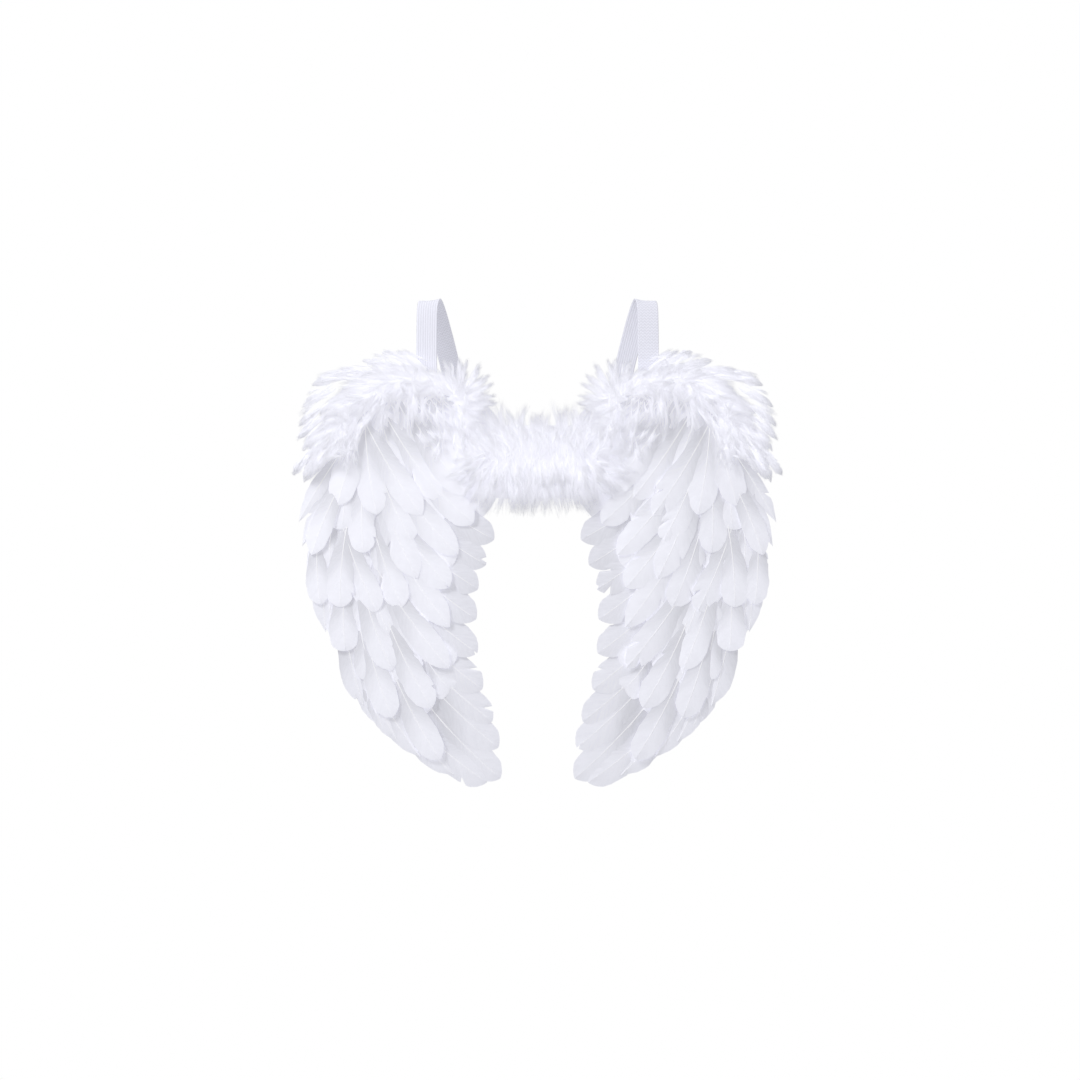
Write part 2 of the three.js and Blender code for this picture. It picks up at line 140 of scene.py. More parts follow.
def add_node(tree, kind, settings=None, sockets=None):
    """Adds a node. Settings come first, then values or wires by a socket's number or name."""
    node = tree.nodes.new(kind)
    for name, value in (settings or {}).items():
        setattr(node, name, value)
    inputs = [s for s in node.inputs if s.enabled]
    pairs = sockets.items() if isinstance(sockets, dict) else enumerate(sockets or [])
    for key, value in pairs:
        socket = inputs[key] if isinstance(key, int) else next(s for s in inputs if s.name == key)
        if isinstance(value, Wire):
            tree.links.new(value.socket, socket)
        elif value is not None:
            socket.default_value = value
    return Node(node)


world = bpy.data.worlds.new("studio")
world.use_nodes = True
world.node_tree.nodes.clear()
ray = add_node(world.node_tree, "ShaderNodeLightPath")
white = {"Color": (1, 1, 1, 1), "Strength": 1.0}
soft = {"Color": (0.94, 0.945, 1, 1), "Strength": 0.58}
seen = add_node(world.node_tree, "ShaderNodeBackground", None, white)
lit = add_node(world.node_tree, "ShaderNodeBackground", None, soft)
sky = add_node(world.node_tree, "ShaderNodeMixShader", None, [ray["Is Camera Ray"], lit[0], seen[0]])
add_node(world.node_tree, "ShaderNodeOutputWorld", None, {"Surface": sky[0]})
scene.world = world

floor_gap = 0.03
floor_level = cad_box[0].z - floor_gap
floor_mesh = bpy.data.meshes.new("floor")
floor_half = 12
square = ((-1, -1), (1, -1), (1, 1), (-1, 1))
floor_corners = [(x * floor_half, y * floor_half, floor_level) for x, y in square]
floor_mesh.from_pydata(floor_corners, [], [(0, 1, 2, 3)])
floor = bpy.data.objects.new("floor", floor_mesh)
scene.collection.objects.link(floor)
floor_paint = bpy.data.materials.new("floor_paint")
floor_paint.use_nodes = True
floor_paint.node_tree.nodes.clear()
glow = add_node(floor_paint.node_tree, "ShaderNodeEmission", None, white)
add_node(floor_paint.node_tree, "ShaderNodeOutputMaterial", None, {"Surface": glow[0]})
floor_mesh.materials.append(floor_paint)
floor.visible_diffuse = False
floor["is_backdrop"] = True

wings_middle = Vector((0, 0, -0.08))
for light_name, watts, size, place in (
    ("key", 11.5, 0.5, (-0.95, -1.0, 1.0)),
    ("top", 1.8, 0.8, (0.6, -0.2, 1.4)),
):
    light_data = bpy.data.lights.new(light_name, "AREA")
    light_data.energy = watts
    light_data.color = (0.95, 0.955, 1)
    light_data.size = size
    light = bpy.data.objects.new(light_name, light_data)
    light.location = place
    light.rotation_euler = (Vector(place) - wings_middle).to_track_quat("Z", "Y").to_euler()
    scene.collection.objects.link(light)

# The bridge and the two wing panels: stiff white craft felt of 2 and 2.5 mm, cut to shape, with
# cut edges that have worn a little round. The bridge is glued across the backs of both panels.
worn_round = 0.0005
felt = bpy.data.materials.new("felt")
felt.use_nodes = True
felt_tree = felt.node_tree
felt_shader = felt_tree.nodes["Principled BSDF"]
spot = add_node(felt_tree, "ShaderNodeTexCoord")["Object"]
fibres = add_node(felt_tree, "ShaderNodeTexNoise", None, {"Vector": spot, "Scale": 900, "Detail": 4})[0]
clouds = add_node(felt_tree, "ShaderNodeTexNoise", None, {"Vector": spot, "Scale": 60, "Detail": 2})[0]
tone = fibres * 0.1 + clouds * 0.06 + 0.86
felt_colour = add_node(felt_tree, "ShaderNodeCombineColor", None, [tone, tone, tone * 1.012])[0]
felt_tree.links.new(felt_colour.socket, felt_shader.inputs["Base Color"])
felt_bump = add_node(
    felt_tree, "ShaderNodeBump", None, {"Strength": 0.5, "Distance": 0.0006, "Height": fibres}
)
felt_tree.links.new(felt_bump[0].socket, felt_shader.inputs["Normal"])
felt_shader.inputs["Roughness"].default_value = 0.95
felt_shader.inputs["Sheen Weight"].default_value = 0.3
# Painted light: a faint glow keeps the felt white in shade.
felt_shader.inputs["Emission Color"].default_value = (0.95, 0.95, 1, 1)
felt_shader.inputs["Emission Strength"].default_value = 0.1

for word in ("bridge", "left_wing", "right_wing"):
    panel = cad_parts[f"{word}_panel"]
    mesh = panel.data.copy()
    mesh.materials.clear()
    mesh.materials.append(felt)
    sheet = bpy.data.objects.new(f"{word}_felt", mesh)
    scene.collection.objects.link(sheet)
    worn_edge = sheet.modifiers.new("worn_edge", "BEVEL")
    worn_edge.width = worn_round
    worn_edge.segments = 2
    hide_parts(f"{word}_panel")
    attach(sheet, "root")

# The feathers: white goose coverts and flights, each a pale shaft with two vanes of fine
# barbs that split here and there at the edge. They are glued by the quill in rows, the
# lowest first, so that each row hides the quills of the one below it. Sizes are in metres,
# and a row's level is how high its feathers are glued over the panel.
wing_reach = 0.233
wing_height = 0.417
wing_rise = 0.106
panel_front = 0.0048
row_slope = math.radians(15)
first_row = 0.012
row_pitch = 0.049
row_level = 0.0022
row_step = 0.0012
covert_width = 0.0275
outer_narrowing = 0.8
flight_width = 0.0305
flight_length = 0.108
edge_length = 0.096
covert_bend = 12
edge_bend = 9
covert_arch = 0.001
covert_tip_lift = 0.0006
covert_spring = (0.0012, 0.003)
filler_back = 0.1
flight_levels = (0.001, 0.003, 0.0022)
flight_stack = 0.0012
under_flight_levels = (0.0008, 0.0022, 0.0016)
edge_levels = (0.001, 0.003, 0.002)
vane_thickness = 0.0002
crease = math.radians(40)
barb_angle = 0.66

# The tips of the coverts as shares of the wing, row by row from the shoulder down, and the
# lean of each: 0 hangs straight down and 90 points to the centre.
covert_rows = (
    (
        (0.822, 0.357, -20),
        (0.657, 0.378, 7),
        (0.468, 0.382, 31),
        (0.381, 0.345, 34),
        (0.278, 0.334, 35),
        (0.245, 0.265, 44),
        (0.27, 0.203, 55),
    ),
    (
        (0.929, 0.472, -23),
        (0.715, 0.463, -1),
        (0.517, 0.435, 24),
        (0.488, 0.527, 22),
        (0.319, 0.472, 39),
        (0.262, 0.396, 44),
    ),
    (
        (0.892, 0.582, 2),
        (0.81, 0.587, -5),
        (0.657, 0.598, 22),
        (0.554, 0.589, 19),
        (0.361, 0.543, 37),
        (0.352, 0.64, 33),
    ),
    ((0.789, 0.686, 0), (0.595, 0.734, 19), (0.356, 0.732, 36)),
    ((0.595, 0.842, 17), (0.431, 0.82, 27)),
    ((0.398, 0.939, 28),),
)
# More coverts that lie under the others, where the rows would leave the panel bare.
row_fillers = {
    1: [(0.27 + 0.036 * i, 0.165, 50 - 2.8 * i) for i in range(11)],
    2: ((0.8, 0.405, -8),),
    3: ((0.74, 0.54, 6), (0.45, 0.53, 30)),
    4: ((0.69, 0.64, 10), (0.61, 0.65, 18), (0.46, 0.7, 28)),
    5: ((0.36, 0.72, 36), (0.68, 0.74, 14), (0.58, 0.76, 20)),
    6: ((0.37, 0.77, 38), (0.48, 0.83, 26)),
}
# Across, down, and the lean in degrees of the feathers of the inner and the outer edge, and
# how wide the outer ones are in mm.
flight_tips = (
    (0.175, 0.434, 56),
    (0.208, 0.492, 54),
    (0.241, 0.548, 52),
    (0.249, 0.617, 50),
    (0.245, 0.695, 49),
    (0.224, 0.778, 48),
    (0.183, 0.852, 47),
    (0.158, 0.912, 46),
    (0.150, 0.983, 44),
    (0.205, 0.992, 50),
)
edge_tips = (
    (0.983, 0.394, -32, 16),
    (0.968, 0.449, -28, 16),
    (0.95, 0.518, -23, 16),
    (0.922, 0.585, -15, 17),
    (0.871, 0.645, 1, 21),
    (0.838, 0.663, 4, 21),
    (0.715, 0.815, 13, 26),
    (0.637, 0.866, 19, 24),
    (0.575, 0.898, 24, 24),
    (0.484, 0.932, 32, 24),
    (0.344, 0.974, 41, 26),
)


def on_wing(side, across, down, forward):
    """A place in the scene, from metres across the wing, down it and forward of its panel."""
    return Vector((side * across, -(panel_front + forward), wing_rise - down))


def row_distance(across, down):
    """How far down a place lies, square to the sloping rows."""
    return down * math.cos(row_slope) - across * math.sin(row_slope)


def heading(degrees):
    """The way of a lean, as steps across and down the wing."""
    angle = math.radians(degrees)
    return Vector((-math.sin(angle), math.cos(angle)))


def shaft_to(tip, lean, bend, length):
    """Root, middle and tip of a shaft, as places across and down the wing."""
    end = Vector((tip[0] * wing_reach, tip[1] * wing_height))
    middle = end - heading(lean + bend / 2) * length / 2
    root = middle - heading(lean - bend / 2) * length / 2
    return root, middle, end


def covert_shaft(row, tip):
    """A covert reaches back from its tip to its row's root line."""
    lean = tip[2]
    root_distance = first_row + row_pitch * (row - 1)
    short, long = covert_width, wing_height
    for _ in range(30):
        length = (short + long) / 2
        root = shaft_to(tip, lean, covert_bend, length)[0]
        if row_distance(*root) > root_distance:
            short = length
        else:
            long = length
    return shaft_to(tip, lean, covert_bend, short)


def point_cloud(name, vectors, numbers):
    """A mesh of loose points that carries one value of each attribute a point."""
    mesh = bpy.data.meshes.new(name)
    count = len(next(iter(vectors.values())))
    mesh.from_pydata([(0, 0, 0)] * count, [], [])
    for key, values in vectors.items():
        layer = mesh.attributes.new(key, "FLOAT_VECTOR", "POINT")
        layer.data.foreach_set("vector", [c for value in values for c in value])
    for key, values in numbers.items():
        layer = mesh.attributes.new(key, "FLOAT", "POINT")
        layer.data.foreach_set("value", list(values))
    thing = bpy.data.objects.new(name, mesh)
    scene.collection.objects.link(thing)
    return thing


def new_tree(name, sizes):
    """A geometry tree and its input node, with a geometry and the named inputs going in."""
    tree = bpy.data.node_groups.new(name, "GeometryNodeTree")
    tree.interface.new_socket("Geometry", in_out="INPUT", socket_type="NodeSocketGeometry")
    tree.interface.new_socket("Geometry", in_out="OUTPUT", socket_type="NodeSocketGeometry")
    for size_name, (kind, value) in sizes.items():
        socket = tree.interface.new_socket(size_name, in_out="INPUT", socket_type=f"NodeSocket{kind}")
        if value is not None:
            socket.default_value = value
    return tree, add_node(tree, "NodeGroupInput")


def stored(tree, name, kind="FLOAT"):
    """A stored attribute's value."""
    node = add_node(tree, "GeometryNodeInputNamedAttribute", {"data_type": kind}, {"Name": name})
    return node["Attribute"]


def keep(tree, geometry, name, value, kind="FLOAT", domain="POINT"):
    """The geometry with one more stored attribute."""
    settings = {"data_type": kind, "domain": domain}
    sockets = {"Geometry": geometry, "Name": name, "Value": value}
    return add_node(tree, "GeometryNodeStoreNamedAttribute", settings, sockets)[0]


def curve_of(tree, factor, points):
    """A number read off a smooth curve through the points."""
    node = tree.nodes.new("ShaderNodeFloatCurve")
    line = node.mapping.curves[0].points
    while len(line) < len(points):
        line.new(0.5, 0.5)
    for knot, (x, y) in zip(line, points):
        knot.location = (x, y)
    node.mapping.update()
    tree.links.new(factor.socket, node.inputs["Value"])
    return Wire(node.outputs[0])


def xyz(tree, x, y, z):
    """A vector of three numbers or wires."""
    return add_node(tree, "ShaderNodeCombineXYZ", None, [x, y, z])[0]


def unit(wire):
    return add_node(wire.tree, "ShaderNodeVectorMath", {"operation": "NORMALIZE"}, [wire])[0]


def cross(first, second):
    return add_node(first.tree, "ShaderNodeVectorMath", {"operation": "CROSS_PRODUCT"}, [first, second])[0]


def bezier(tree, s):
    """The place and the heading at s of the shaft that a feather's attributes give."""
    root, middle, tip = (stored(tree, key, "FLOAT_VECTOR") for key in ("root", "middle", "tip"))
    rest = 1 - s
    place = root * (rest * rest) + middle * (s * rest * 2) + tip * (s * s)
    along = unit((middle - root) * rest + (tip - middle) * s)
    return place, along


feather_inputs = {
    "Barb rows": ("Int", 32),
    "Barb columns": ("Int", 9),
    "Barb angle": ("Float", barb_angle),
    "Shaft share": ("Float", 0.93),
    "Dome": ("Float", 0.09),
    "Split share": ("Float", 0.014),
    "Vane material": ("Material", None),
    "Shaft material": ("Material", None),
}
feather_tree, given = new_tree("feathers", feather_inputs)

# Both vanes: a grid laid along the barbs, from the shaft at across 0 to the edges at -1 and 1.
grid = add_node(
    feather_tree,
    "GeometryNodeMeshGrid",
    None,
    {"Size X": 1.0, "Size Y": 2.0, "Vertices X": given["Barb rows"], "Vertices Y": given["Barb columns"]},
)
grid_place = add_node(feather_tree, "GeometryNodeInputPosition")[0]
flat_place = add_node(feather_tree, "ShaderNodeSeparateXYZ", None, [grid_place])
sheet = keep(feather_tree, grid["Mesh"], "along", flat_place["X"] + 0.5)
sheet = keep(feather_tree, sheet, "across", flat_place["Y"])
vanes = add_node(
    feather_tree, "GeometryNodeInstanceOnPoints", None, {"Points": given["Geometry"], "Instance": sheet}
)[0]
vanes = add_node(feather_tree, "GeometryNodeRealizeInstances", None, {"Geometry": vanes})[0]

along = stored(feather_tree, "along")
across = stored(feather_tree, "across")
half = stored(feather_tree, "half_width")
pointed = stored(feather_tree, "pointed")
number = stored(feather_tree, "number")
reach_share = given["Shaft share"] + pointed * 0.055
place, ahead = bezier(feather_tree, along * reach_share)
sideways = unit(cross(ahead, (0, -1, 0)))
sign = across.maths("SIGN")
far = across.maths("ABSOLUTE")
row_number = (along * (given["Barb rows"] - 1)).maths("ROUND")
chance = add_node(
    feather_tree, "ShaderNodeTexWhiteNoise", None, {"Vector": xyz(feather_tree, row_number, sign, number)}
)
split = chance["Value"].maths("LESS_THAN", given["Split share"]) * along.maths("GREATER_THAN", 0.25)
second_chance = add_node(feather_tree, "ShaderNodeSeparateXYZ", None, [chance["Color"]])["Y"]
depth = split * (second_chance * 0.5 + 0.15)
ragged = 1 - chance["Value"] * 0.015 - depth
round_widths = ((0, 0.3), (0.3, 0.76), (0.55, 1), (0.74, 0.92), (0.85, 0.72), (0.93, 0.5), (1, 0.27))
sharp_widths = ((0, 0.3), (0.3, 0.85), (0.52, 1), (0.7, 0.8), (0.86, 0.44), (0.95, 0.22), (1, 0.08))
round_line = curve_of(feather_tree, along, round_widths)
sharp_line = curve_of(feather_tree, along, sharp_widths)
outline = round_line * (1 - pointed) + sharp_line * pointed
angle = given["Barb angle"] * (1 - along ** 13)
barb_length = half * (1 / math.sin(barb_angle)) * outline * ragged
ripple = add_node(
    feather_tree,
    "ShaderNodeTexNoise",
    {"noise_dimensions": "3D"},
    {"Vector": xyz(feather_tree, along * 5, sign * 3, number * 7), "Scale": 1.0, "Detail": 2.0},
)[0] - 0.5
ripple = ripple * (1 - along ** 6)
reach = barb_length * far
swing = angle + ripple * far * 0.35
step_along = ahead * (reach * swing.maths("COSINE"))
step_out = sideways * (reach * sign * swing.maths("SINE"))
roll = stored(feather_tree, "roll")
domed = far * far * half * given["Dome"]
sink = domed * -1 + across * half * outline * roll + ripple * far * half * 0.12
pushed = place + step_along + step_out + xyz(feather_tree, 0.0, sink * -1, 0.0)
pushed = pushed.maths("MINIMUM", (1.0, -panel_front - 0.0003, 1.0))
vanes = add_node(feather_tree, "GeometryNodeSetPosition", None, {"Geometry": vanes, "Position": pushed})[0]
vanes = add_node(feather_tree, "GeometryNodeSetShadeSmooth", None, {"Geometry": vanes})[0]
vanes = add_node(
    feather_tree, "GeometryNodeSetMaterial", None, {"Geometry": vanes, "Material": given["Vane material"]}
)[0]

# The shaft: a round quill that tapers to a hair at the tip.
line = add_node(feather_tree, "GeometryNodeCurvePrimitiveLine")
line = add_node(feather_tree, "GeometryNodeResampleCurve", None, {"Curve": line[0], "Count": 10})
quills = add_node(
    feather_tree, "GeometryNodeInstanceOnPoints", None, {"Points": given["Geometry"], "Instance": line[0]}
)[0]
quills = add_node(feather_tree, "GeometryNodeRealizeInstances", None, {"Geometry": quills})[0]
factor = add_node(feather_tree, "GeometryNodeSplineParameter")["Factor"]
place, ahead = bezier(feather_tree, factor * reach_share)
quills = add_node(
    feather_tree,
    "GeometryNodeSetPosition",
    None,
    {"Geometry": quills, "Position": place + (0, -0.00015, 0)},
)[0]
ring = add_node(feather_tree, "GeometryNodeCurvePrimitiveCircle", None, {"Resolution": 5, "Radius": 1.0})
taper = (1 - factor) * 0.00036 + 0.0001
quills = add_node(
    feather_tree,
    "GeometryNodeCurveToMesh",
    None,
    {"Curve": quills, "Profile Curve": ring[0], "Scale": taper, "Fill Caps": True},
)[0]
quills = add_node(feather_tree, "GeometryNodeSetShadeSmooth", None, {"Geometry": quills})[0]
quills = add_node(
    feather_tree, "GeometryNodeSetMaterial", None, {"Geometry": quills, "Material": given["Shaft material"]}
)[0]
both = add_node(feather_tree, "GeometryNodeJoinGeometry")
feather_tree.links.new(vanes.socket, both.node.inputs[0])
feather_tree.links.new(quills.socket, both.node.inputs[0])
add_node(feather_tree, "NodeGroupOutput", None, [both[0]])

# The vane's finish: satin white, with fine barb lines that run out from the shaft, broader streaks along the
# barbs that are painted sheen, and painted shade towards the root, under the next row. The faint emission is
# painted light that stands in for light shining through.
vane = bpy.data.materials.new("feather_vane")
vane.use_nodes = True
vane_tree = vane.node_tree
vane_shader = vane_tree.nodes["Principled BSDF"]
barb_place = xyz(
    vane_tree,
    add_node(vane_tree, "ShaderNodeAttribute", {"attribute_name": "along"})["Fac"] * 260,
    add_node(vane_tree, "ShaderNodeAttribute", {"attribute_name": "across"})["Fac"] * 2.2,
    add_node(vane_tree, "ShaderNodeAttribute", {"attribute_name": "number"})["Fac"] * 31,
)
barbs = add_node(
    vane_tree, "ShaderNodeTexNoise", None, {"Vector": barb_place, "Scale": 1.0, "Detail": 3.0}
)[0]
# Painted sheen: broad streaks along the barbs.
painted_sheen_streaks = add_node(
    vane_tree,
    "ShaderNodeTexNoise",
    None,
    {"Vector": barb_place * (0.12, 1.0, 1.0), "Scale": 1.0, "Detail": 2.0},
)[0]
# Painted shade for each feather: those that lie under or behind others are darker.
painted_shade_and_tone = add_node(vane_tree, "ShaderNodeAttribute", {"attribute_name": "painted_shade_and_tone"})["Fac"]
# Painted shade: darker towards the root, under the next row.
vane_along = add_node(vane_tree, "ShaderNodeAttribute", {"attribute_name": "along"})["Fac"]
painted_root_shade = {"Value": vane_along, "From Min": 0.25, "From Max": 0.74, "To Min": 0.71, "To Max": 1.0}
painted_shade_and_tone = painted_shade_and_tone * add_node(vane_tree, "ShaderNodeMapRange", {"interpolation_type": "SMOOTHSTEP"}, painted_root_shade)[0]
tone = (barbs * 0.12 + painted_sheen_streaks * 0.14 + 0.77) * painted_shade_and_tone
vane_colour = add_node(vane_tree, "ShaderNodeCombineColor", None, [tone, tone, tone * 1.03])[0]
vane_tree.links.new(vane_colour.socket, vane_shader.inputs["Base Color"])
vane_bump = add_node(
    vane_tree, "ShaderNodeBump", None, {"Strength": 0.4, "Distance": 0.0004, "Height": barbs}
)
vane_tree.links.new(vane_bump[0].socket, vane_shader.inputs["Normal"])
vane_shader.inputs["Roughness"].default_value = 0.55
vane_shader.inputs["Specular IOR Level"].default_value = 0.25
vane_shader.inputs["Sheen Weight"].default_value = 0.2
# Painted light: a faint glow for light that shines through the vane and lifts its shadows.
vane_shader.inputs["Emission Color"].default_value = (0.92, 0.92, 1, 1)
vane_shader.inputs["Emission Strength"].default_value = 0.2

quill = bpy.data.materials.new("feather_shaft")
quill.use_nodes = True
quill_tree = quill.node_tree
quill_shader = quill_tree.nodes["Principled BSDF"]
spot = add_node(quill_tree, "ShaderNodeTexCoord")["Object"]
streak = add_node(quill_tree, "ShaderNodeTexNoise", None, {"Vector": spot, "Scale": 300.0})[0]
quill_parts = [streak * 0.04 + part for part in (0.94, 0.935, 0.93)]
quill_colour = add_node(quill_tree, "ShaderNodeCombineColor", None, quill_parts)[0]
quill_tree.links.new(quill_colour.socket, quill_shader.inputs["Base Color"])
quill_shader.inputs["Roughness"].default_value = 0.4
# Painted light: a faint glow keeps the shaft white in shade.
quill_shader.inputs["Emission Color"].default_value = (1, 1, 0.98, 1)
quill_shader.inputs["Emission Strength"].default_value = 0.14


def made_plain(thing, name):
    """The evaluated object as a plain mesh object, in place of the one with modifiers."""
    evaluated = thing.evaluated_get(bpy.context.evaluated_depsgraph_get())
    mesh = bpy.data.meshes.new_from_object(evaluated)
    bpy.data.objects.remove(thing)
    plain = bpy.data.objects.new(name, mesh)
    mesh.name = name
    scene.collection.objects.link(plain)
    return plain


def set_inputs(modifier, values):
    """Sets a modifier's inputs by their names."""
    for socket in modifier.node_group.interface.items_tree:
        if socket.name in values and socket.in_out == "INPUT":
            modifier[socket.identifier] = values[socket.name]


def feather_piece(name, side, feathers, inputs):
    """A group of feathers: each is a shaft, how high it lies, its width, form, roll and painted shade (a
    plain tone for the crest flats).
    """
    vectors = {"root": [], "middle": [], "tip": []}
    numbers = {"half_width": [], "pointed": [], "number": [], "roll": [], "painted_shade_and_tone": []}
    for (root, middle, tip), levels, width, sharp, roll, painted_shade_and_tone in feathers:
        for key, place, level in zip(("root", "middle", "tip"), (root, middle, tip), levels):
            vectors[key].append(on_wing(side, place.x, place.y, level))
        numbers["half_width"].append(width / 2)
        numbers["pointed"].append(sharp)
        numbers["number"].append(len(numbers["number"]) * 1.37 + len(name) + side)
        numbers["roll"].append(roll * side)
        numbers["painted_shade_and_tone"].append(painted_shade_and_tone)
    cloud = point_cloud(name, vectors, numbers)
    modifier = cloud.modifiers.new("feathers", "NODES")
    modifier.node_group = feather_tree
    set_inputs(modifier, {"Vane material": vane, "Shaft material": quill, **inputs})
    wall = cloud.modifiers.new("wall", "SOLIDIFY")
    wall.thickness = vane_thickness
    wall.offset = 0
    piece = made_plain(cloud, name)
    piece.data.set_sharp_from_angle(angle=crease)
    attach(piece, "root")
    return piece


def levels_of(row, shaft, extra):
    """Heights of a covert's root, middle and tip over the panel, arched between them."""
    root, middle, tip = shaft
    start = row_distance(*root) - row_pitch * (row - 1) - first_row
    low = row_level + row_step * start / row_pitch + extra * 0.3
    past = row_distance(*tip) - row_pitch * (row - 1) - first_row
    high = row_level + row_step * past / row_pitch + extra
    return low, (low + high) / 2 + covert_arch, high + covert_tip_lift


# Each row: the coverts with the tips above, one more under each pair of them, and the
# fillers. Then the flights, each with one more under it, and the pointed feathers of the edge.
for side, word in ((-1, "left"), (1, "right")):
    for row, tips in enumerate(covert_rows, 1):
        draw = random.Random(row)
        feathers = []
        for count, tip in enumerate(tips):
            shaft = covert_shaft(row, tip)
            extra = draw.uniform(*covert_spring)
            width = covert_width * (outer_narrowing if tip[0] > 0.85 else 1)
            feathers.append((shaft, levels_of(row, shaft, extra), width, 0, draw.uniform(-0.12, 0.12), 1))
            if count + 1 < len(tips):
                between = [(a + b) / 2 for a, b in zip(tip, tips[count + 1])]
                between[1] -= filler_back
                shaft = covert_shaft(row, between)
                levels = levels_of(row, shaft, 0)
                # Painted shade: a feather that lies under the others is a little darker.
                feathers.append((shaft, levels, covert_width, 0.1, draw.uniform(-0.1, 0.1), 0.98))
        for across, down_wing, lean in row_fillers.get(row, ()):
            shaft = covert_shaft(row, (across, down_wing, lean))
            levels = levels_of(row, shaft, 0)
            # The fillers lie under too and carry the same painted shade.
            feathers.append((shaft, levels, covert_width, 0.1, draw.uniform(-0.1, 0.1), 0.98))
        piece = feather_piece(f"{word}_covert_row_{row}_feathers", side, feathers, {})
        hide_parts(f"{word}_covert_row_{row}")
    draw = random.Random(7)
    feathers = []
    for count, (x, z, lean) in enumerate(flight_tips):
        shaft = shaft_to((x, z), lean, covert_bend, flight_length)
        low, high, top = flight_levels
        top = top + flight_stack * (len(flight_tips) - count) / len(flight_tips)
        # Painted shade: the flights, which lie behind the coverts, are darker, and most so at the top.
        painted_shade_and_tone = 0.79 + 0.016 * count
        feathers.append((shaft, (low, high, top), flight_width, 0, draw.uniform(-0.1, 0.1), painted_shade_and_tone))
        shaft = shaft_to((x + 0.06, z - 0.02), lean - 4, covert_bend, flight_length)
        feathers.append((shaft, under_flight_levels, flight_width, 0, draw.uniform(-0.1, 0.1), painted_shade_and_tone))
    for x, z, lean, width in edge_tips:
        shaft = shaft_to((x, z), lean, edge_bend, edge_length)
        # The edge feathers carry a little painted shade.
        feathers.append((shaft, edge_levels, width / 1000, 1, draw.uniform(-0.1, 0.1), 0.94))
    piece = feather_piece(f"{word}_flight_feathers_vanes", side, feathers, {"Split share": 0.04})
    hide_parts(f"{word}_flight_feathers")

# The marabou: small white turkey plumes on a cord, fluffed out and stitched over the
# shoulders, down the outside of both crests, and in two rows over the join. Each plume is a
# bundle of fine barbs that leave a hidden shaft and close again towards its tip.
plume_inputs = {
    "Barbs": ("Int", 22),
    "Barb points": ("Int", 3),
    "Barb radius": ("Float", 0.00016),
    "Curl": ("Float", 0.0055),
    "Seed": ("Int", 1),
    "Barb material": ("Material", None),
}
plume_tree, given = new_tree("plumes", plume_inputs)
seed = given["Seed"]


def drawn(low, high, shift):
    """A random number for each barb."""
    sockets = {"Min": low, "Max": high, "Seed": seed + shift}
    return add_node(plume_tree, "FunctionNodeRandomValue", {"data_type": "FLOAT"}, sockets)[0]


barbs = add_node(
    plume_tree,
    "GeometryNodeDuplicateElements",
    {"domain": "POINT"},
    {"Geometry": given["Geometry"], "Amount": given["Barbs"]},
)[0]
barbs = keep(plume_tree, barbs, "leave", drawn(0.0, 0.62, 0))
barbs = keep(plume_tree, barbs, "long", drawn(0.72, 1.05, 1))
barbs = keep(plume_tree, barbs, "bulge", drawn(0.1, 1.15, 2))
barbs = keep(plume_tree, barbs, "wisp", drawn(-0.1, 0.5, 3))
way = xyz(plume_tree, drawn(-1.0, 1.0, 4), drawn(-1.0, 1.0, 5), drawn(-1.0, 1.0, 6))
barbs = keep(plume_tree, barbs, "way", way, "FLOAT_VECTOR")
# A tone that differs at random from barb to barb.
barbs = keep(plume_tree, barbs, "painted_shade_and_tone", drawn(0.74, 1.0, 7))
line = add_node(plume_tree, "GeometryNodeCurvePrimitiveLine")
line = add_node(
    plume_tree, "GeometryNodeResampleCurve", None, {"Curve": line[0], "Count": given["Barb points"]}
)
barbs = add_node(
    plume_tree, "GeometryNodeInstanceOnPoints", None, {"Points": barbs, "Instance": line[0]}
)[0]
barbs = add_node(plume_tree, "GeometryNodeRealizeInstances", None, {"Geometry": barbs})[0]
t = add_node(plume_tree, "GeometryNodeSplineParameter")["Factor"]
leave = stored(plume_tree, "leave")
way = stored(plume_tree, "way", "FLOAT_VECTOR")
s = leave + (1 - leave) * t * stored(plume_tree, "long")
barbs = keep(plume_tree, barbs, "along", s)
place, ahead = bezier(plume_tree, s)
aside = unit(cross(way, ahead))
envelope = (s ** 0.6) * (1.2 - s).maths("MAXIMUM", 0.0) * 1.5
spread = stored(plume_tree, "bulge") * envelope * (t ** 0.7) + stored(plume_tree, "wisp") * (t ** 2) * 0.5
wave_place = way * 37 + xyz(plume_tree, s * 2.4, 0.0, 0.0)
wave = add_node(plume_tree, "ShaderNodeTexNoise", None, {"Vector": wave_place, "Scale": 1.0})["Color"]
wave = wave.maths("SUBTRACT", (0.5, 0.5, 0.5)) * (t * given["Curl"] * stored(plume_tree, "curl"))
place = place + aside * (spread * stored(plume_tree, "fluff")) + wave
barbs = add_node(plume_tree, "GeometryNodeSetPosition", None, {"Geometry": barbs, "Position": place})[0]
ring = add_node(plume_tree, "GeometryNodeCurvePrimitiveCircle", None, {"Resolution": 3, "Radius": 1.0})
barb_taper = given["Barb radius"] * (1 - t * 0.75)
barbs = add_node(
    plume_tree,
    "GeometryNodeCurveToMesh",
    None,
    {"Curve": barbs, "Profile Curve": ring[0], "Scale": barb_taper, "Fill Caps": True},
)[0]
barbs = add_node(
    plume_tree, "GeometryNodeSetMaterial", None, {"Geometry": barbs, "Material": given["Barb material"]}
)[0]
add_node(plume_tree, "NodeGroupOutput", None, [barbs])

